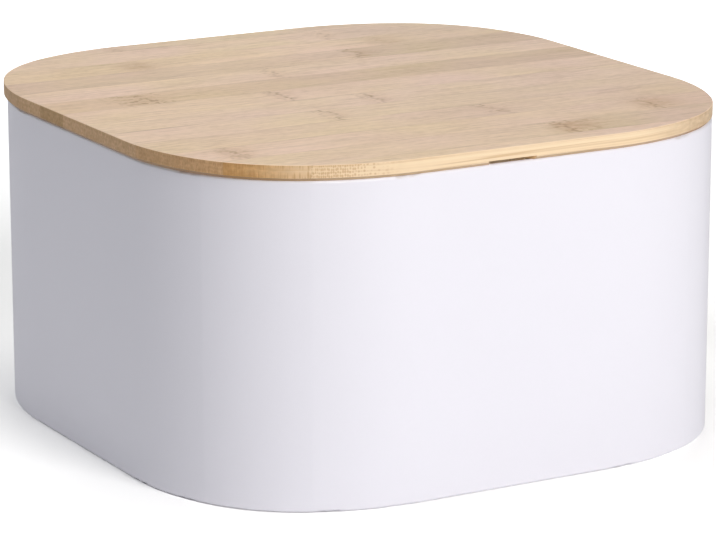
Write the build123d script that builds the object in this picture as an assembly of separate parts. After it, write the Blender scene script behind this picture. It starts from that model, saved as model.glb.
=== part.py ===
from build123d import *
import math
import os

# Bread box: a wrapped sheet-steel box, square in plan with soft corners, and a lift-off lid
# glued from bamboo strips. Millimetres, +Z up, origin on the floor under the middle of the box.
# The front is -Y.

# ---------------------------------------------------------------- driving dimensions
WIDTH = 300.0              # wall band, outside, left to right (X)
DEPTH = 307.0              # wall band, outside, front to back (Y)
CORNER_R_END = 114.0       # soft corner: radius where it leaves the flat sides
CORNER_R_MID = 79.5        # soft corner: radius round its middle
CORNER_END_DEG = 26.0      # angle turned by each end radius

SHEET = 0.8                # sheet thickness, wall and base
FOOT_STANDOFF = 0.25       # gap between the wall's lower edge and the floor
WALL_HEIGHT = 154.9        # lower edge to rim
BEND_R = 1.4               # outside radius of the bends in the sheet
RIM_FLANGE = 3.0           # rim turned inward: an open hem
RIM_LIP = 5.0              # depth of the rim's turned-down lip
FOOT_FLANGE = 9.0          # width of the turned-in lower edge, from the wall's outside
LAP_WIDTH = 12.0           # overlap of the band's two ends, inside the back wall
LAP_GROOVE = 0.35          # width and depth of the line it leaves outside

PAN_SIDE_GAP = 0.15        # between the base pan's edge and the wall
PAN_EDGE = 8.0             # height of the pan's turned-up edge
PAN_PANEL_INSET = 42.0     # stiffening panel: its edge, in from the wall's outside
PAN_PANEL_RISE = 1.6       # stiffening panel: height

PAD_DIAMETER = 20.0        # anti-slip pads
PAD_INSET = 25.0           # pad centre, in from the wall's outside, on the corner's middle

LID_THICKNESS = 7.4        # visible board edge
LID_OVERHANG = 0.9         # board past the wall, all round
LID_STEP = 3.6             # depth of the step inside the rim
LID_STEP_GAP = 1.3         # step to rim lip, all round, when the lid is in the middle
LID_LIES = -0.9            # X: the loose lid lies this far to the left, within that gap
LID_TOP_ARRIS = 0.25       # bevel round the top edge
LID_LOWER_BEVEL = 1.35     # bevel round the lower edge
STEP_BEVEL = 0.8
STRIP_PITCH = 25.75        # bamboo strip width
STRIP_FIRST_JOINT = 140.2  # Y of the rearmost joint
STRIP_JOINTS = 12          # joints at that pitch, from the rear

RECESS_WIDTH = 25.5        # finger recess under the lid's front edge
RECESS_X = -3.3            # its middle, from the lid's middle
RECESS_DEPTH = 8.5
RECESS_HEIGHT = 1.8

# ---------------------------------------------------------------- levels
Z_LOW = FOOT_STANDOFF                 # wall, lower edge
Z_RIM = Z_LOW + WALL_HEIGHT           # rim, and the lid's seat
Z_PAN = Z_LOW + SHEET                 # base pan, underside
Z_TOP = Z_RIM + LID_THICKNESS         # lid, top face


# ---------------------------------------------------------------- plan outline
def outline(inset, z):
    """The plan at level z, moved in by inset from the wall's outside, as a face."""
    a, b = WIDTH / 2.0, DEPTH / 2.0
    al = math.radians(CORNER_END_DEG)
    r1, r2 = CORNER_R_END, CORNER_R_MID
    reach = r1 * (math.sin(al) + 1.0 - math.cos(al)) + r2 * (math.cos(al) - math.sin(al))
    # arc centres of the corner in the first quadrant
    c1 = (a - r1, b - reach)
    p1 = (c1[0] + r1 * math.cos(al), c1[1] + r1 * math.sin(al))
    c2 = (p1[0] - r2 * math.cos(al), p1[1] - r2 * math.sin(al))
    p2 = (c2[0] + r2 * math.sin(al), c2[1] + r2 * math.cos(al))
    c3 = (p2[0] - r1 * math.sin(al), p2[1] - r1 * math.cos(al))
    half_pi = math.pi / 2.0
    arcs = [(c1, r1 - inset, 0.0, al),
            (c2, r2 - inset, al, half_pi - al),
            (c3, r1 - inset, half_pi - al, half_pi)]

    def at(c, r, t):
        return (c[0] + r * math.cos(t), c[1] + r * math.sin(t))

    quarter = [(at(c, r, t0), at(c, r, 0.5 * (t0 + t1)), at(c, r, t1)) for c, r, t0, t1 in arcs]
    # the corner's own symmetry fixes the last point exactly on the flat side
    runs = list(quarter)
    runs += [tuple((-x, y) for x, y in reversed(q)) for q in reversed(quarter)]
    runs += [tuple((-x, -y) for x, y in q) for q in quarter]
    runs += [tuple((x, -y) for x, y in reversed(q)) for q in reversed(quarter)]
    edges = []
    for i, (s, m, e) in enumerate(runs):
        edges.append(Edge.make_three_point_arc((s[0], s[1], z), (m[0], m[1], z), (e[0], e[1], z)))
        n = runs[(i + 1) % len(runs)][0]
        if math.hypot(n[0] - e[0], n[1] - e[1]) > 1e-6:
            edges.append(Edge.make_line((e[0], e[1], z), (n[0], n[1], z)))
    return Face(Wire(edges))


def prism(inset, z0, z1):
    return Solid.extrude(outline(inset, z0), Vector(0, 0, z1 - z0))


def rounded(solid, z, radius):
    """Round every edge of a prism that lies at level z."""
    ring = [e for e in solid.edges() if abs(e.center().Z - z) < 1e-5 and e.bounding_box().size.Z < 1e-5]
    return solid.fillet(radius, ring)


def bevelled(solid, z, size):
    """Bevel every edge of a prism that lies at level z."""
    ring = [e for e in solid.edges() if abs(e.center().Z - z) < 1e-5 and e.bounding_box().size.Z < 1e-5]
    return solid.chamfer(size, None, ring)


def only_solid(shape):
    found = shape.solids()
    assert len(found) == 1, f"{len(found)} solids"
    return found[0]


def box(x0, x1, y0, y1, z0, z1):
    return Solid.make_box(x1 - x0, y1 - y0, z1 - z0, Plane((x0, y0, z0)))


def inset_of(point):
    """How far a point on a plan outline is in from the wall's outside."""
    a, b = WIDTH / 2.0, DEPTH / 2.0
    al = math.radians(CORNER_END_DEG)
    r1, r2 = CORNER_R_END, CORNER_R_MID
    reach = r1 * (math.sin(al) + 1.0 - math.cos(al)) + r2 * (math.cos(al) - math.sin(al))
    x, y = abs(point.X), abs(point.Y)
    if y <= b - reach:
        return a - x
    if x <= a - reach:
        return b - y
    c1 = (a - r1, b - reach)
    p1 = (c1[0] + r1 * math.cos(al), c1[1] + r1 * math.sin(al))
    c2 = (p1[0] - r2 * math.cos(al), p1[1] - r2 * math.sin(al))
    t = math.atan2(y - c2[1], x - c2[0])
    if t < al:
        return r1 - math.hypot(x - c1[0], y - c1[1])
    if t > math.pi / 2.0 - al:
        return r1 - math.hypot(x - (a - reach), y - (b - r1))
    return r2 - math.hypot(x - c2[0], y - c2[1])


# ---------------------------------------------------------------- wall band
outer = rounded(rounded(prism(0.0, Z_LOW, Z_RIM), Z_LOW, BEND_R), Z_RIM, BEND_R)
hollow = prism(SHEET, Z_LOW + SHEET, Z_RIM - SHEET)
hollow = rounded(rounded(hollow, Z_LOW + SHEET, BEND_R - SHEET), Z_RIM - SHEET, BEND_R - SHEET)
wall = outer - hollow
wall = wall - prism(FOOT_FLANGE, Z_LOW - 1.0, Z_LOW + SHEET + 1.0)
lip = prism(RIM_FLANGE - SHEET, Z_RIM - RIM_LIP, Z_RIM - 0.5 * SHEET)
wall = only_solid(wall + lip)
wall = only_solid(wall - prism(RIM_FLANGE, Z_RIM - RIM_LIP - 1.0, Z_RIM + 1.0))
# the bend between the rim's flat and its lip, both faces of the sheet
bend = [e for e in wall.edges()
        if abs(e.center().Z - Z_RIM) < 1e-5 and abs(inset_of(e @ 0.5) - RIM_FLANGE) < 0.05]
wall = only_solid(wall.fillet(BEND_R, bend))
bend = [e for e in wall.edges()
        if abs(e.center().Z - (Z_RIM - SHEET)) < 1e-5 and abs(inset_of(e @ 0.5) - (RIM_FLANGE - SHEET)) < 0.05]
wall = only_solid(wall.fillet(BEND_R - SHEET, bend))
# the band's ends lap inside the back wall
back_in = DEPTH / 2.0 - SHEET
lap = box(0.0, LAP_WIDTH, back_in - SHEET, back_in + 0.4 * SHEET, Z_PAN + SHEET + PAN_EDGE + 1.0, Z_RIM - RIM_LIP - 1.5)
wall = only_solid(wall + lap)
wall = only_solid(wall - box(-LAP_GROOVE / 2.0, LAP_GROOVE / 2.0, DEPTH / 2.0 - LAP_GROOVE, DEPTH / 2.0 + 1.0,
                             Z_LOW + BEND_R, Z_RIM - BEND_R))

# ---------------------------------------------------------------- base pan
pan_out = SHEET + PAN_SIDE_GAP
pan_in = pan_out + SHEET
pan = rounded(prism(pan_out, Z_PAN, Z_PAN + SHEET + PAN_EDGE), Z_PAN, 1.8)
pan = pan - rounded(prism(pan_in, Z_PAN + SHEET, Z_PAN + SHEET + PAN_EDGE + 2.0), Z_PAN + SHEET, 1.0)
pan = only_solid(pan)
panel_top = Z_PAN + PAN_PANEL_RISE + SHEET
raised = rounded(prism(PAN_PANEL_INSET, Z_PAN + 0.2, panel_top), panel_top, 1.2)
pan = only_solid(pan + raised)
sunk = rounded(prism(PAN_PANEL_INSET + SHEET, Z_PAN - 1.0, Z_PAN + PAN_PANEL_RISE), Z_PAN + PAN_PANEL_RISE, 0.6)
pan = only_solid(pan - sunk)

# ---------------------------------------------------------------- anti-slip pads
al = math.radians(CORNER_END_DEG)
reach = CORNER_R_END * (math.sin(al) + 1.0 - math.cos(al)) + CORNER_R_MID * (math.cos(al) - math.sin(al))
mid_x = WIDTH / 2.0 - CORNER_R_END + (CORNER_R_END - CORNER_R_MID) * math.cos(al)
mid_y = DEPTH / 2.0 - reach + (CORNER_R_END - CORNER_R_MID) * math.sin(al)
pad_x = mid_x + (CORNER_R_MID - PAD_INSET) * math.sqrt(0.5)
pad_y = mid_y + (CORNER_R_MID - PAD_INSET) * math.sqrt(0.5)


def pad(x, y):
    disc = Solid.make_cylinder(PAD_DIAMETER / 2.0, Z_PAN, Plane((x, y, 0.0)))
    low = [e for e in disc.edges() if abs(e.center().Z) < 1e-5 and e.bounding_box().size.Z < 1e-5]
    return disc.fillet(0.4, low)


pads = {"pad_front_left": pad(-pad_x, -pad_y), "pad_front_right": pad(pad_x, -pad_y),
        "pad_rear_left": pad(-pad_x, pad_y), "pad_rear_right": pad(pad_x, pad_y)}

# ---------------------------------------------------------------- lid board, cut into its strips
board = prism(-LID_OVERHANG, Z_RIM, Z_TOP)
board = bevelled(bevelled(board, Z_TOP, LID_TOP_ARRIS), Z_RIM, LID_LOWER_BEVEL)
step = bevelled(prism(RIM_FLANGE + LID_STEP_GAP, Z_RIM - LID_STEP, Z_RIM + 1.0), Z_RIM - LID_STEP, STEP_BEVEL)
board = only_solid(board + step)
edge_y = -(DEPTH / 2.0 + LID_OVERHANG)
recess_r = ((RECESS_WIDTH / 2.0) ** 2 + RECESS_DEPTH ** 2) / (2.0 * RECESS_DEPTH)
recess = Solid.make_cylinder(recess_r, RECESS_HEIGHT + LID_STEP + 1.0,
                             Plane((RECESS_X, edge_y + RECESS_DEPTH - recess_r, Z_RIM - LID_STEP - 1.0)))
board = only_solid(board - recess).translate(Vector(LID_LIES, 0, 0))

joints_y = [STRIP_FIRST_JOINT - STRIP_PITCH * i for i in range(STRIP_JOINTS)]
limits = [DEPTH / 2.0 + 20.0] + joints_y + [-(DEPTH / 2.0 + 20.0)]
strips = {}
for i in range(len(joints_y) + 1):
    slab = box(-WIDTH, WIDTH, limits[i + 1], limits[i], Z_RIM - 20.0, Z_TOP + 20.0)
    strips[f"lid_strip_{i + 1:02d}"] = only_solid(board & slab)

# ---------------------------------------------------------------- files
os.makedirs("parts", exist_ok=True)
pieces = {"wall_band": wall, "base_pan": pan}
pieces.update(pads)
pieces.update(strips)
for name, piece in pieces.items():
    piece.label = name
    export_step(piece, f"parts/{name}.step")
    bb = piece.bounding_box()
    print(f"{name:18s} {piece.volume / 1000.0:9.2f} cm3  z {bb.min.Z:7.2f} to {bb.max.Z:7.2f}")
print("pads at", round(pad_x, 3), round(pad_y, 3), "rim", Z_RIM, "top", Z_TOP, "panel top", panel_top)
print("joints", [round(y, 2) for y in joints_y])
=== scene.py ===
import math

import bpy
from mathutils import Matrix, Vector

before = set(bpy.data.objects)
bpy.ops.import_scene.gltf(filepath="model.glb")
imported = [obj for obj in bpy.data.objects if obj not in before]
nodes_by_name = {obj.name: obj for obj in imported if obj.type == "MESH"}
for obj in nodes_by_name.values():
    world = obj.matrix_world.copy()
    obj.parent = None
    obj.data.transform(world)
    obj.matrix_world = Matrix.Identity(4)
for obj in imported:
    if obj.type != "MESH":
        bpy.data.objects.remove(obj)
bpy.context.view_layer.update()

scene = bpy.context.scene

# ------------------------------------------------------------------ camera
# The viewing angle comes from fitting the outlines of the box; the image is 716 by 540.
WIDTH_M = 0.300
AZIMUTH, ELEVATION, ROLL = -29.4236, 14.284, -0.0735
DISTANCE = 6.0445 * WIDTH_M
FOCAL_PX = 3621.09
TARGET = Vector((0.0298 * WIDTH_M, 0.0413 * WIDTH_M, 0.2196 * WIDTH_M + 0.0003))


def make_camera():
    a, e, r = (math.radians(v) for v in (AZIMUTH, ELEVATION, ROLL))
    back = Vector((math.sin(a) * math.cos(e), -math.cos(a) * math.cos(e), math.sin(e)))
    right = (-back).cross(Vector((0, 0, 1))).normalized()
    up = right.cross(-back)
    right, up = right * math.cos(r) + up * math.sin(r), up * math.cos(r) - right * math.sin(r)
    data = bpy.data.cameras.new("camera")
    data.sensor_fit = "HORIZONTAL"
    data.sensor_width = 36.0
    data.lens = FOCAL_PX / 716.0 * 36.0
    data.clip_start, data.clip_end = 0.05, 60.0
    cam = bpy.data.objects.new("camera", data)
    scene.collection.objects.link(cam)
    pos = TARGET + back * DISTANCE
    m = Matrix((right, up, back)).transposed().to_4x4()
    m.translation = pos
    cam.matrix_world = m
    scene.camera = cam


# ------------------------------------------------------------------ node helpers
class Tree:
    """A small helper round a material's node tree."""

    def __init__(self, material):
        material.use_nodes = True
        self.t = material.node_tree
        self.t.nodes.clear()
        self.col = 0

    def add(self, kind, **props):
        n = self.t.nodes.new(kind)
        self.col += 1
        n.location = (self.col % 40 * 180, -(self.col // 40) * 260)
        for k, v in props.items():
            setattr(n, k, v)
        return n

    def link(self, a, b):
        self.t.links.new(a, b)

    def put(self, socket, value):
        if isinstance(value, bpy.types.NodeSocket):
            self.t.links.new(value, socket)
        else:
            socket.default_value = value

    def math(self, op, a, b=0.0, c=0.0, clamp=False):
        n = self.add("ShaderNodeMath", operation=op, use_clamp=clamp)
        self.put(n.inputs[0], a)
        self.put(n.inputs[1], b)
        self.put(n.inputs[2], c)
        return n.outputs[0]

    def vec(self, x, y, z):
        n = self.add("ShaderNodeCombineXYZ")
        for s, v in zip(n.inputs, (x, y, z)):
            self.put(s, v)
        return n.outputs[0]

    def noise(self, vector, scale=1.0, detail=2.0, rough=0.5, distortion=0.0):
        n = self.add("ShaderNodeTexNoise")
        n.noise_dimensions = "3D"
        self.put(n.inputs["Vector"], vector)
        n.inputs["Scale"].default_value = scale
        n.inputs["Detail"].default_value = detail
        n.inputs["Roughness"].default_value = rough
        n.inputs["Distortion"].default_value = distortion
        return n.outputs["Fac"]

    def voronoi(self, vector, scale=1.0, feature="F1", randomness=1.0):
        n = self.add("ShaderNodeTexVoronoi", feature=feature)
        self.put(n.inputs["Vector"], vector)
        n.inputs["Scale"].default_value = scale
        n.inputs["Randomness"].default_value = randomness
        return n.outputs["Distance"]

    def smooth(self, value, lo, hi, out_lo=0.0, out_hi=1.0):
        n = self.add("ShaderNodeMapRange", interpolation_type="SMOOTHSTEP")
        self.put(n.inputs["Value"], value)
        n.inputs["From Min"].default_value = lo
        n.inputs["From Max"].default_value = hi
        n.inputs["To Min"].default_value = out_lo
        n.inputs["To Max"].default_value = out_hi
        return n.outputs["Result"]

    def ramp(self, value, stops):
        n = self.add("ShaderNodeValToRGB")
        cr = n.color_ramp
        while len(cr.elements) < len(stops):
            cr.elements.new(0.5)
        for e, (p, c) in zip(cr.elements, stops):
            e.position = p
            e.color = (*c, 1.0)
        self.put(n.inputs[0], value)
        return n.outputs["Color"]

    def mix(self, fac, a, b, blend="MIX"):
        n = self.add("ShaderNodeMix", data_type="RGBA", blend_type=blend)
        self.put(n.inputs[0], fac)
        self.put(n.inputs[6], a if isinstance(a, bpy.types.NodeSocket) else (*a, 1.0))
        self.put(n.inputs[7], b if isinstance(b, bpy.types.NodeSocket) else (*b, 1.0))
        return n.outputs[2]

    def gauss(self, value, sigma):
        """exp(-(value/sigma)^2)"""
        q = self.math("DIVIDE", value, sigma)
        return self.math("POWER", math.e, self.math("MULTIPLY", self.math("MULTIPLY", q, q), -1.0))

    def surface(self, shader_socket):
        out = self.add("ShaderNodeOutputMaterial")
        self.link(shader_socket, out.inputs["Surface"])


def fresh(name):
    return bpy.data.materials.new(name)


# ------------------------------------------------------------------ white powder coat
def powder_coat(name, base):
    m = fresh(name)
    t = Tree(m)
    p = t.add("ShaderNodeTexCoord").outputs["Object"]
    drift = t.noise(p, 9.0, 2.0, 0.5)
    fine = t.noise(p, 950.0, 2.0, 0.55)
    peel = t.noise(p, 420.0, 1.0, 0.5)
    tone = t.math("ADD", t.math("MULTIPLY", drift, 0.6), t.math("MULTIPLY", fine, 0.4))
    lo = tuple(c * 0.988 for c in base)
    hi = tuple(min(1.0, c * 1.008) for c in base)
    colour = t.ramp(tone, [(0.3, lo), (0.7, hi)])
    b = t.add("ShaderNodeBsdfPrincipled")
    t.link(colour, b.inputs["Base Color"])
    t.link(t.smooth(fine, 0.25, 0.75, 0.40, 0.50), b.inputs["Roughness"])
    b.inputs["IOR"].default_value = 1.5
    bump = t.add("ShaderNodeBump")
    bump.inputs["Strength"].default_value = 0.10
    bump.inputs["Distance"].default_value = 0.0002
    t.link(t.math("ADD", t.math("MULTIPLY", peel, 0.7), t.math("MULTIPLY", fine, 0.3)), bump.inputs["Height"])
    t.link(bump.outputs["Normal"], b.inputs["Normal"])
    t.surface(b.outputs[0])
    return m


# ------------------------------------------------------------------ rubber pads
def rubber(name):
    m = fresh(name)
    t = Tree(m)
    p = t.add("ShaderNodeTexCoord").outputs["Object"]
    grain = t.noise(p, 1400.0, 3.0, 0.6)
    b = t.add("ShaderNodeBsdfPrincipled")
    t.link(t.ramp(grain, [(0.3, (0.23, 0.23, 0.235)), (0.7, (0.29, 0.29, 0.295))]), b.inputs["Base Color"])
    t.link(t.smooth(grain, 0.3, 0.7, 0.72, 0.86), b.inputs["Roughness"])
    bump = t.add("ShaderNodeBump")
    bump.inputs["Strength"].default_value = 0.3
    bump.inputs["Distance"].default_value = 0.0001
    t.link(grain, bump.inputs["Height"])
    t.link(bump.outputs["Normal"], b.inputs["Normal"])
    t.surface(b.outputs[0])
    return m


# ------------------------------------------------------------------ bamboo
def bamboo(name, seed, tone, end_tone, knuckles, y_low, y_high, tone_steps=(), bundles=(1750.0, 520.0, 0.55), crack=None):
    """One strip of flat-grain bamboo, grain along X. Each knuckle is (x in metres, hairline, stain, specks,
    stain width to -X, stain width to +X). y_low and y_high are the strip's glued sides, or None at the lid's edge.
    bundles is the pattern of the cut end: cells per metre along Y and Z, and how irregular. crack is a fine line in
    the top face: x and y of its start, x and y of its end."""
    m = fresh(name)
    t = Tree(m)
    tc = t.add("ShaderNodeTexCoord")
    sep = t.add("ShaderNodeSeparateXYZ")
    t.link(tc.outputs["Object"], sep.inputs[0])
    x, y, z = sep.outputs
    nsep = t.add("ShaderNodeSeparateXYZ")
    t.link(tc.outputs["Normal"], nsep.inputs[0])
    nx_signed = nsep.outputs[0]
    nx = t.math("ABSOLUTE", nx_signed)
    ny = t.math("ABSOLUTE", nsep.outputs[1])
    nz = nsep.outputs[2]
    s = seed * 7.31

    def stretched(fx, fy, fz, yy=None, off=0.0):
        return t.vec(t.math("MULTIPLY_ADD", x, fx, s + off), t.math("MULTIPLY_ADD", y if yy is None else yy, fy, s * 1.7 + off),
                     t.math("MULTIPLY_ADD", z, fz, s * 0.9 + off))

    def centred(value):
        return t.math("SUBTRACT", value, 0.5)

    # fibres wander a little along the strip, and more close to a knuckle
    yy = t.math("MULTIPLY_ADD", centred(t.noise(stretched(7.0, 30.0, 30.0), 1.0, 1.0, 0.5)), 0.0024, y)
    marks = []
    if knuckles:
        slow = centred(t.noise(stretched(0.0, 95.0, 40.0, None, 5.7), 1.0, 0.0, 0.5))
        quick = centred(t.noise(stretched(0.0, 430.0, 200.0, None, 3.3), 1.0, 1.0, 0.5))
        step = t.smooth(t.noise(stretched(0.0, 260.0, 120.0, None, 1.9), 1.0, 0.0, 0.5), 0.46, 0.54, -0.5, 0.5)
        wobble = t.math("MULTIPLY_ADD", slow, 0.012, t.math("MULTIPLY_ADD", quick, 0.0012, t.math("MULTIPLY", step, 0.0018)))
        broken = t.smooth(t.noise(stretched(60.0, 210.0, 120.0, None, 2.2), 1.0, 1.0, 0.5), 0.30, 0.60)
        mottle = t.noise(stretched(150.0, 330.0, 330.0, None, 6.4), 1.0, 3.0, 0.65)
        half = 0.5 * ((0.1544 if y_high is None else y_high) - (-0.1544 if y_low is None else y_low))
        centre = (0.1544 if y_high is None else y_high) - half
        off_centre = t.math("DIVIDE", t.math("ABSOLUTE", t.math("SUBTRACT", y, centre)), half)
        rounded = t.smooth(off_centre, 1.05, 0.35, 0.30, 1.0)
        swirl = centred(t.noise(stretched(95.0, 150.0, 150.0, None, 3.1), 1.0, 1.0, 0.5))
        for kx, hair, stain, specks, left_w, right_w in knuckles:
            d = t.math("SUBTRACT", t.math("SUBTRACT", x, kx), wobble)
            near = t.gauss(d, 0.0095)
            yy = t.math("MULTIPLY_ADD", t.math("MULTIPLY", swirl, near), 0.011, yy)
            marks.append((d, near, hair, stain, specks, left_w, right_w))

    fine = t.noise(stretched(24.0, 1500.0, 1300.0, yy), 1.0, 2.0, 0.6)
    short = t.noise(stretched(52.0, 430.0, 620.0, yy, 6.1), 1.0, 1.0, 0.5)
    mid = t.noise(stretched(15.0, 460.0, 620.0, yy, 1.3), 1.0, 2.0, 0.55)
    broad = t.noise(stretched(14.0, 150.0, 110.0, yy, 2.6), 1.0, 1.0, 0.5)
    flecks = t.noise(stretched(210.0, 380.0, 380.0, yy, 5.5), 1.0, 1.0, 0.6)
    cloud = t.noise(stretched(13.0, 24.0, 24.0, None, 4.9), 1.0, 2.0, 0.5)
    dash = t.smooth(t.noise(stretched(48.0, 1050.0, 1000.0, yy, 8.2), 1.0, 0.0, 0.5), 0.60, 0.74)

    v = t.math("MULTIPLY_ADD", centred(fine), 0.42, 0.5)
    v = t.math("MULTIPLY_ADD", centred(short), 0.40, v)
    v = t.math("MULTIPLY_ADD", centred(mid), 0.21, v)
    v = t.math("MULTIPLY_ADD", centred(broad), 0.19, v)
    v = t.math("MULTIPLY_ADD", centred(flecks), 0.42, v)
    v = t.math("MULTIPLY_ADD", centred(cloud), 0.30, v)
    r, g, b_ = tone
    dark = (r * 0.80, g * 0.76, b_ * 0.70)
    light = (min(1.0, r * 1.13), min(1.0, g * 1.14), min(1.0, b_ * 1.16))
    colour = t.ramp(v, [(0.18, dark), (0.5, tone), (0.82, light)])
    # a slow drift between pinker and yellower
    hue = t.noise(stretched(16.0, 20.0, 20.0, None, 7.7), 1.0, 1.0, 0.5)
    colour = t.mix(1.0, colour, t.ramp(hue, [(0.32, (1.0, 1.015, 0.93)), (0.68, (1.01, 0.985, 1.05))]), "MULTIPLY")
    # painted light and shade: the board is painted a little paler at its left and darker and greyer at its right, as
    # the light and its sheen fall across the lid
    drift = t.smooth(t.math("MULTIPLY_ADD", centred(cloud), 0.10, x), -0.14, 0.14)
    colour = t.mix(1.0, colour, t.mix(drift, (1.022, 1.022, 1.012), (0.970, 0.976, 0.996)), "MULTIPLY")
    # a cane darkens or pales along its length, often at a knuckle
    for kx, soft, left, right in tone_steps:
        side = t.smooth(t.math("MULTIPLY_ADD", centred(cloud), 2.0 * soft, x), kx - soft, kx + soft)
        colour = t.mix(1.0, colour, t.mix(side, left, right), "MULTIPLY")
    # vascular bundles cut along their length: short dark dashes
    colour = t.mix(t.math("MULTIPLY", dash, 0.20), colour, (r * 0.52, g * 0.45, b_ * 0.37))

    # knuckles: a broken hairline across the strip, a stain that fades along the grain, and specks
    hairline = None
    for d, near, hair, stain, specks, left_w, right_w in marks:
        width = t.smooth(d, -0.002, 0.002, left_w, right_w)
        q = t.math("DIVIDE", d, width)
        spread = t.math("POWER", math.e, t.math("MULTIPLY", t.math("MULTIPLY", q, q), -1.0))
        cover = t.math("MULTIPLY", t.math("MULTIPLY", spread, rounded), t.smooth(mottle, 0.28, 0.70, 0.35 * stain, 1.0 * stain))
        colour = t.mix(cover, colour, (r * 0.70, g * 0.585, b_ * 0.46))
        if specks > 0.0:
            speck = t.smooth(t.noise(stretched(290.0, 330.0, 330.0, None, 9.1), 1.0, 1.0, 0.5), 0.54, 0.66)
            colour = t.mix(t.math("MULTIPLY", t.math("MULTIPLY", speck, spread), specks), colour, (r * 0.54, g * 0.44, b_ * 0.33))
        thin = t.math("MULTIPLY", t.gauss(d, 0.0009), t.math("MULTIPLY_ADD", broken, 0.65, 0.35))
        split = t.math("ADD", d, t.math("MULTIPLY_ADD", slow, 0.010, 0.0045))
        second = t.math("MULTIPLY", t.gauss(split, 0.0008), t.math("MULTIPLY", broken, 0.40))
        both = t.math("MAXIMUM", thin, second)
        # where the line runs out along the grain: to +X at its front end, to -X at its rear end
        for place, way, reach in ((-0.52, 1.0, 0.0075), (0.50, -1.0, 0.0065), (-0.10, 1.0, 0.0035)):
            across = t.gauss(t.math("SUBTRACT", yy, centre + place * half), 0.0011)
            along = t.math("MULTIPLY", d, way)
            fade = t.math("MULTIPLY", t.smooth(along, -0.0008, 0.0006), t.smooth(along, reach, 0.0, 0.0, 0.55))
            both = t.math("MAXIMUM", both, t.math("MULTIPLY", across, fade))
        both = t.math("MULTIPLY", both, hair)
        colour = t.mix(both, colour, (r * 0.48, g * 0.38, b_ * 0.28))
        hairline = both if hairline is None else t.math("MAXIMUM", hairline, both)

    if crack:
        x0, y0, x1, y1 = crack
        across = t.math("SUBTRACT", y, t.math("MULTIPLY_ADD", x, (y1 - y0) / (x1 - x0), y0 - x0 * (y1 - y0) / (x1 - x0)))
        run = t.math("MULTIPLY", t.smooth(x, x0 - 0.003, x0 + 0.006), t.smooth(x, x1 + 0.003, x1 - 0.010))
        colour = t.mix(t.math("MULTIPLY", t.math("MULTIPLY", t.gauss(across, 0.0006), run), 0.55), colour, (r * 0.50, g * 0.41, b_ * 0.31))

    # long sides: paler, with the layers showing as lines along the edge
    side = t.smooth(ny, 0.45, 0.95)
    layers = t.noise(stretched(5.0, 30.0, 760.0, None, 4.4), 1.0, 2.0, 0.6)
    side_colour = t.ramp(layers, [(0.30, (0.78, 0.57, 0.34)), (0.47, (0.90, 0.69, 0.445)), (0.72, (0.94, 0.75, 0.505))])
    fold = t.math("ABSOLUTE", centred(t.noise(stretched(4.0, 30.0, 330.0, None, 2.9), 1.0, 1.0, 0.5)))
    seam = t.math("MULTIPLY", t.smooth(fold, 0.050, 0.008), t.smooth(t.noise(stretched(22.0, 30.0, 90.0, None, 5.2), 1.0, 1.0, 0.5), 0.30, 0.62, 0.15, 0.75))
    side_colour = t.mix(seam, side_colour, (0.66, 0.44, 0.235))
    # cut ends: golden brown, with the bundles showing as dots
    # the cut-end colour also covers the right-hand corners, as painted shade there
    end = t.math("MAXIMUM", t.smooth(nx, 0.24, 0.80), t.smooth(nx_signed, 0.08, 0.55))
    per_y, per_z, uneven = bundles
    dots = t.voronoi(t.vec(t.math("MULTIPLY_ADD", x, 25.0, s), t.math("MULTIPLY_ADD", y, per_y, s), t.math("MULTIPLY_ADD", z, per_z, s)), 1.0, "F1", uneven)
    dot = t.smooth(dots, 0.60, 0.28)
    show = t.math("MAXIMUM", t.smooth(nx_signed, -0.06, -0.22, 0.0, 0.50), t.smooth(nx_signed, 0.20, 0.60, 0.0, 0.16))
    er, eg, eb = end_tone
    end_light = t.ramp(mid, [(0.3, (er * 0.88, eg * 0.86, eb * 0.82)), (0.7, (er * 1.12, eg * 1.13, eb * 1.16))])
    # the right-hand ends get an end-grain colour of their own, paler than the left ends; it also reaches round the
    # right-hand corners as painted shade, darker than the long sides, where the light falls off
    right_end_and_shade = t.ramp(mid, [(0.3, (0.63, 0.462, 0.290)), (0.7, (0.77, 0.585, 0.385))])
    end_light = t.mix(t.smooth(nx_signed, 0.0, 0.15), end_light, right_end_and_shade)
    edge_colour = t.mix(end, side_colour, end_light)
    edge_colour = t.mix(t.math("MULTIPLY", dot, show), edge_colour, (er * 0.72, eg * 0.60, eb * 0.45))
    flat = t.smooth(t.math("ABSOLUTE", nz), 0.80, 0.35)
    colour = t.mix(flat, colour, edge_colour)
    # painted highlight: the top arris is painted paler, where it catches the light; painted shade: the lower bevel,
    # facing down, is painted darker and browner, most of all at the sides
    arris_highlight = t.math("MULTIPLY", t.smooth(nz, 0.45, 0.65), t.smooth(nz, 0.97, 0.80))
    colour = t.mix(t.math("MULTIPLY", arris_highlight, 0.75), colour, (min(1.0, r * 1.20), min(1.0, g * 1.22), min(1.0, b_ * 1.24)))
    # painted shade on the downward-facing lower bevel
    lower_bevel_shade = t.math("MULTIPLY", t.smooth(nz, -0.40, -0.60), t.smooth(nz, -0.97, -0.80))
    colour = t.mix(t.math("MULTIPLY", lower_bevel_shade, t.smooth(nx, 0.15, 0.55, 0.50, 0.85)), colour, (er * 0.55, eg * 0.53, eb * 0.54))

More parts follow.
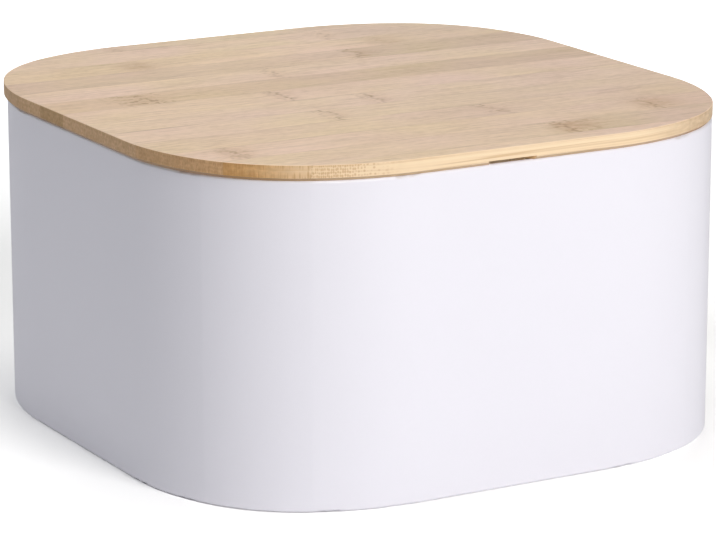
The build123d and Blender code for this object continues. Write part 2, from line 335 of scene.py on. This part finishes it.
    # glue lines
    line = None
    for edge_y in (y_low, y_high):
        if edge_y is None:
            continue
        d = t.math("ABSOLUTE", t.math("SUBTRACT", y, edge_y))
        one = t.smooth(d, 0.00055, 0.00012)
        line = one if line is None else t.math("MAXIMUM", line, one)
    if line is not None:
        patch = t.smooth(t.noise(stretched(16.0, 0.0, 0.0, None, 9.9), 1.0, 2.0, 0.6), 0.38, 0.70, 0.06, 0.50)
        colour = t.mix(t.math("MULTIPLY", t.math("MULTIPLY", line, patch), t.smooth(flat, 0.0, 1.0, 1.0, 0.25)), colour, (r * 0.45, g * 0.37, b_ * 0.29))

    b = t.add("ShaderNodeBsdfPrincipled")
    t.link(colour, b.inputs["Base Color"])
    t.link(t.math("MULTIPLY_ADD", fine, 0.16, 0.50), b.inputs["Roughness"])
    b.inputs["IOR"].default_value = 1.45
    b.inputs["Specular IOR Level"].default_value = 0.30
    bump = t.add("ShaderNodeBump")
    bump.inputs["Strength"].default_value = 0.22
    bump.inputs["Distance"].default_value = 0.0002
    height = t.math("MULTIPLY_ADD", dash, -0.5, t.math("MULTIPLY_ADD", mid, 0.5, t.math("MULTIPLY", fine, 0.5)))
    if line is not None:
        height = t.math("MULTIPLY_ADD", line, -0.35, height)
    if hairline is not None:
        height = t.math("MULTIPLY_ADD", hairline, -0.5, height)
    t.link(height, bump.inputs["Height"])
    t.link(bump.outputs["Normal"], b.inputs["Normal"])
    t.surface(b.outputs[0])
    return m


# joints between the strips, rear to front, in metres
JOINTS = [(140.2 - 25.75 * i) / 1000.0 for i in range(12)]
BASE = (0.757, 0.566, 0.402)
END = (0.675, 0.448, 0.250)
# strip number: tone factors, factors of the cut end, knuckles, tone steps (x, half width, factors to -X, factors to +X)
STRIPS = {
    1: ((0.98, 0.98, 0.97), (1.0, 1.0, 1.0), [(-0.0588, 0.25, 0.30, 0.0, 0.006, 0.006)], ()),
    2: ((1.00, 1.00, 1.00), (1.0, 1.0, 1.0), [(0.0537, 0.40, 0.20, 0.0, 0.005, 0.005)], ((-0.045, 0.030, (1.0, 1.0, 1.0), (1.05, 1.05, 1.05)), (0.060, 0.010, (1.0, 1.0, 1.0), (0.92, 0.92, 0.92)))),
    3: ((1.00, 0.99, 0.97), (1.0, 1.0, 1.0), [(-0.0678, 0.15, 0.60, 0.0, 0.012, 0.007), (0.0726, 0.15, 0.50, 0.0, 0.008, 0.009)], ((-0.045, 0.030, (1.0, 1.0, 1.0), (1.05, 1.05, 1.05)), (0.060, 0.010, (1.0, 1.0, 1.0), (0.92, 0.92, 0.92)))),
    4: ((0.92, 0.90, 0.86), (0.95, 0.95, 0.95), [(0.0426, 0.60, 0.55, 0.3, 0.004, 0.010)], ((0.0426, 0.004, (1.05, 1.05, 1.08), (0.955, 0.955, 0.93)), (-0.035, 0.040, (0.92, 0.92, 0.90), (1.0, 1.0, 1.0)))),
    5: ((1.02, 1.02, 1.02), (1.0, 1.0, 1.0), [(-0.0165, 0.45, 0.25, 0.0, 0.006, 0.008)], ()),
    6: ((0.90, 0.87, 0.82), (0.83, 0.81, 0.72), [(-0.1034, 0.10, 0.40, 0.70, 0.013, 0.013)], ((0.0, 0.130, (1.045, 1.045, 1.04), (0.965, 0.965, 0.965)),)),
    7: ((1.01, 1.00, 1.00), (1.02, 1.02, 1.02), [(-0.0399, 0.75, 0.15, 0.2, 0.005, 0.007)], ()),
    8: ((1.01, 1.01, 1.01), (1.0, 1.0, 1.0), [(-0.0042, 0.72, 0.24, 0.2, 0.006, 0.009)], ()),
    9: ((1.00, 1.00, 0.99), (1.0, 1.0, 1.0), [(-0.0410, 0.62, 0.24, 0.2, 0.007, 0.007)], ((0.020, 0.030, (1.0, 1.0, 1.0), (0.955, 0.95, 0.945)), (0.100, 0.010, (1.0, 1.0, 1.0), (1.04, 1.045, 1.05)))),
    10: ((0.99, 0.98, 0.97), (0.95, 0.90, 0.83), [(0.0325, 0.60, 0.30, 0.3, 0.006, 0.006)], ((0.0, 0.020, (1.0, 1.0, 1.0), (0.95, 0.945, 0.94)), (0.062, 0.006, (1.0, 1.0, 1.0), (1.05, 1.055, 1.06)))),
    11: ((1.00, 0.99, 0.97), (0.94, 0.88, 0.80), [(-0.1201, 0.45, 0.50, 0.45, 0.008, 0.008), (0.1040, 0.60, 0.75, 0.3, 0.008, 0.014)], ((0.108, 0.004, (1.0, 1.0, 1.0), (0.955, 0.945, 0.93)),)),
    12: ((0.99, 0.98, 0.96), (0.95, 0.83, 0.59), [(0.0403, 0.85, 1.0, 0.6, 0.007, 0.017)], ((0.046, 0.004, (1.0, 1.0, 1.0), (0.93, 0.925, 0.915)),)),
    13: ((1.01, 1.00, 0.98), (1.12, 1.10, 0.97), [], ()),
}


# cut ends with a pattern of their own, and the one strip whose glue line has opened a little
BUNDLES = {12: (1750.0, 170.0, 0.35), 13: (2900.0, 640.0, 0.40)}
CRACKS = {9: (-0.1480, -0.0405, -0.1010, -0.0405)}


def finish_lid():
    for i, (f, ends, knuckles, step) in STRIPS.items():
        tone = tuple(p * q for p, q in zip(BASE, f))
        end_tone = tuple(p * q for p, q in zip(END, ends))
        high = JOINTS[i - 2] if i >= 2 else None
        low = JOINTS[i - 1] if i <= 12 else None
        mat = bamboo(f"bamboo_{i:02d}", 1.0 + i * 1.37, tone, end_tone, knuckles, low, high, step,
                     BUNDLES.get(i, (1750.0, 520.0, 0.55)), CRACKS.get(i))
        give(nodes_by_name[f"lid_strip_{i:02d}"], mat)


def give(obj, mat):
    obj.data.materials.clear()
    obj.data.materials.append(mat)


# ------------------------------------------------------------------ stage and light
def make_stage():
    bpy.ops.mesh.primitive_circle_add(vertices=128, radius=1.75, fill_type="NGON", location=(0, 0, 0))
    floor = bpy.context.object
    floor.name = "floor"
    m = fresh("pale_floor")
    t = Tree(m)
    ray = t.add("ShaderNodeLightPath").outputs["Is Camera Ray"]
    reach = t.add("ShaderNodeVectorMath", operation="LENGTH")
    place = t.add("ShaderNodeTexCoord").outputs["Object"]
    t.link(place, reach.inputs[0])
    # distance from the foot of the wall
    xyz = t.add("ShaderNodeSeparateXYZ")
    t.link(place, xyz.inputs[0])
    over = [t.math("POWER", t.math("MAXIMUM", t.math("SUBTRACT", t.math("ABSOLUTE", xyz.outputs[k]), c), 0.0), 2.175)
            for k, c in (("X", 0.0519), ("Y", 0.0554))]
    foot = t.math("SUBTRACT", t.math("POWER", t.math("ADD", over[0], over[1]), 1.0 / 2.175), 0.0981)
    # paler away from the box, so that the sweep stays white as the lamps fall off
    pale = t.ramp(t.smooth(reach.outputs["Value"], 0.22, 1.10), [(0.0, (1.20, 1.196, 1.160)), (1.0, (1.66, 1.66, 1.66))])
    pale = t.mix(t.smooth(reach.outputs["Value"], 1.05, 1.65), pale, (4.5, 4.5, 4.5))
    # painted light: paler to the camera right at the foot of the wall, lifting the contact shadow to a faint line;
    # there the floor also bounces more light onto the wall's lower bend
    pale = t.mix(t.smooth(foot, 0.0004, -0.0018), pale, (2.0, 2.0, 1.96))
    bounce = t.mix(t.smooth(foot, 0.0080, 0.0010), (0.80, 0.80, 0.81), (0.90, 0.90, 0.90))
    d = t.add("ShaderNodeBsdfDiffuse")
    t.link(t.mix(ray, bounce, pale), d.inputs["Color"])
    t.surface(d.outputs[0])
    floor.data.materials.append(m)

    world = bpy.data.worlds.new("studio")
    scene.world = world
    world.use_nodes = True
    w = world.node_tree
    w.nodes.clear()
    out = w.nodes.new("ShaderNodeOutputWorld")
    ray = w.nodes.new("ShaderNodeLightPath").outputs["Is Camera Ray"]
    light = w.nodes.new("ShaderNodeBackground")
    light.inputs["Color"].default_value = (0.97, 1.0, 1.04, 1.0)
    light.inputs["Strength"].default_value = 0.05
    seen = w.nodes.new("ShaderNodeBackground")
    seen.inputs["Color"].default_value = (1.0, 1.0, 1.0, 1.0)
    seen.inputs["Strength"].default_value = 1.05
    pick = w.nodes.new("ShaderNodeMixShader")
    w.links.new(ray, pick.inputs[0])
    w.links.new(light.outputs[0], pick.inputs[1])
    w.links.new(seen.outputs[0], pick.inputs[2])
    w.links.new(pick.outputs[0], out.inputs["Surface"])


def softbox(name, azimuth, elevation, distance, width, height, power, colour):
    """A rectangular soft light, aimed at the middle of the box. Azimuth 0 is in front, and grows to the right."""
    data = bpy.data.lights.new(name, "AREA")
    data.shape = "RECTANGLE"
    data.size, data.size_y = width, height
    data.energy = power
    data.color = colour
    o = bpy.data.objects.new(name, data)
    scene.collection.objects.link(o)
    a, e = math.radians(azimuth), math.radians(elevation)
    direction = Vector((math.sin(a) * math.cos(e), -math.cos(a) * math.cos(e), math.sin(e)))
    o.location = Vector((0, 0, 0.08)) + direction * distance
    o.rotation_mode = "QUATERNION"
    o.rotation_quaternion = direction.to_track_quat("Z", "Y")
    o.visible_camera = False
    return o


def make_lights():
    softbox("key_front", 5.0, 25.0, 2.2, 1.0, 1.0, 32.0, (1.0, 0.985, 1.0))
    softbox("fill_right", 67.0, 25.0, 2.2, 1.0, 1.0, 2.6, (1.0, 1.0, 1.0))
    softbox("high_left", -118.0, 49.0, 2.2, 1.0, 1.0, 12.7, (0.97, 0.985, 1.05))
    softbox("rear_right", 150.0, 25.0, 2.2, 1.0, 1.0, 5.6, (1.0, 1.0, 1.0))
    softbox("rear_low", 158.0, 11.0, 2.2, 1.3, 0.5, 10.5, (1.0, 1.0, 1.0)).visible_glossy = False
    softbox("top", 0.0, 88.0, 2.2, 1.0, 1.0, 13.8, (1.0, 1.0, 1.0))


# ------------------------------------------------------------------ build
make_camera()
coat = powder_coat("white_coat", (0.885, 0.872, 0.915))
give(nodes_by_name["wall_band"], coat)
give(nodes_by_name["base_pan"], coat)
pad_rubber = rubber("pad_rubber")
for n in ("pad_front_left", "pad_front_right", "pad_rear_left", "pad_rear_right"):
    give(nodes_by_name[n], pad_rubber)
finish_lid()
make_stage()
make_lights()
scene.view_settings.view_transform = "Standard"
scene.view_settings.look = "None"
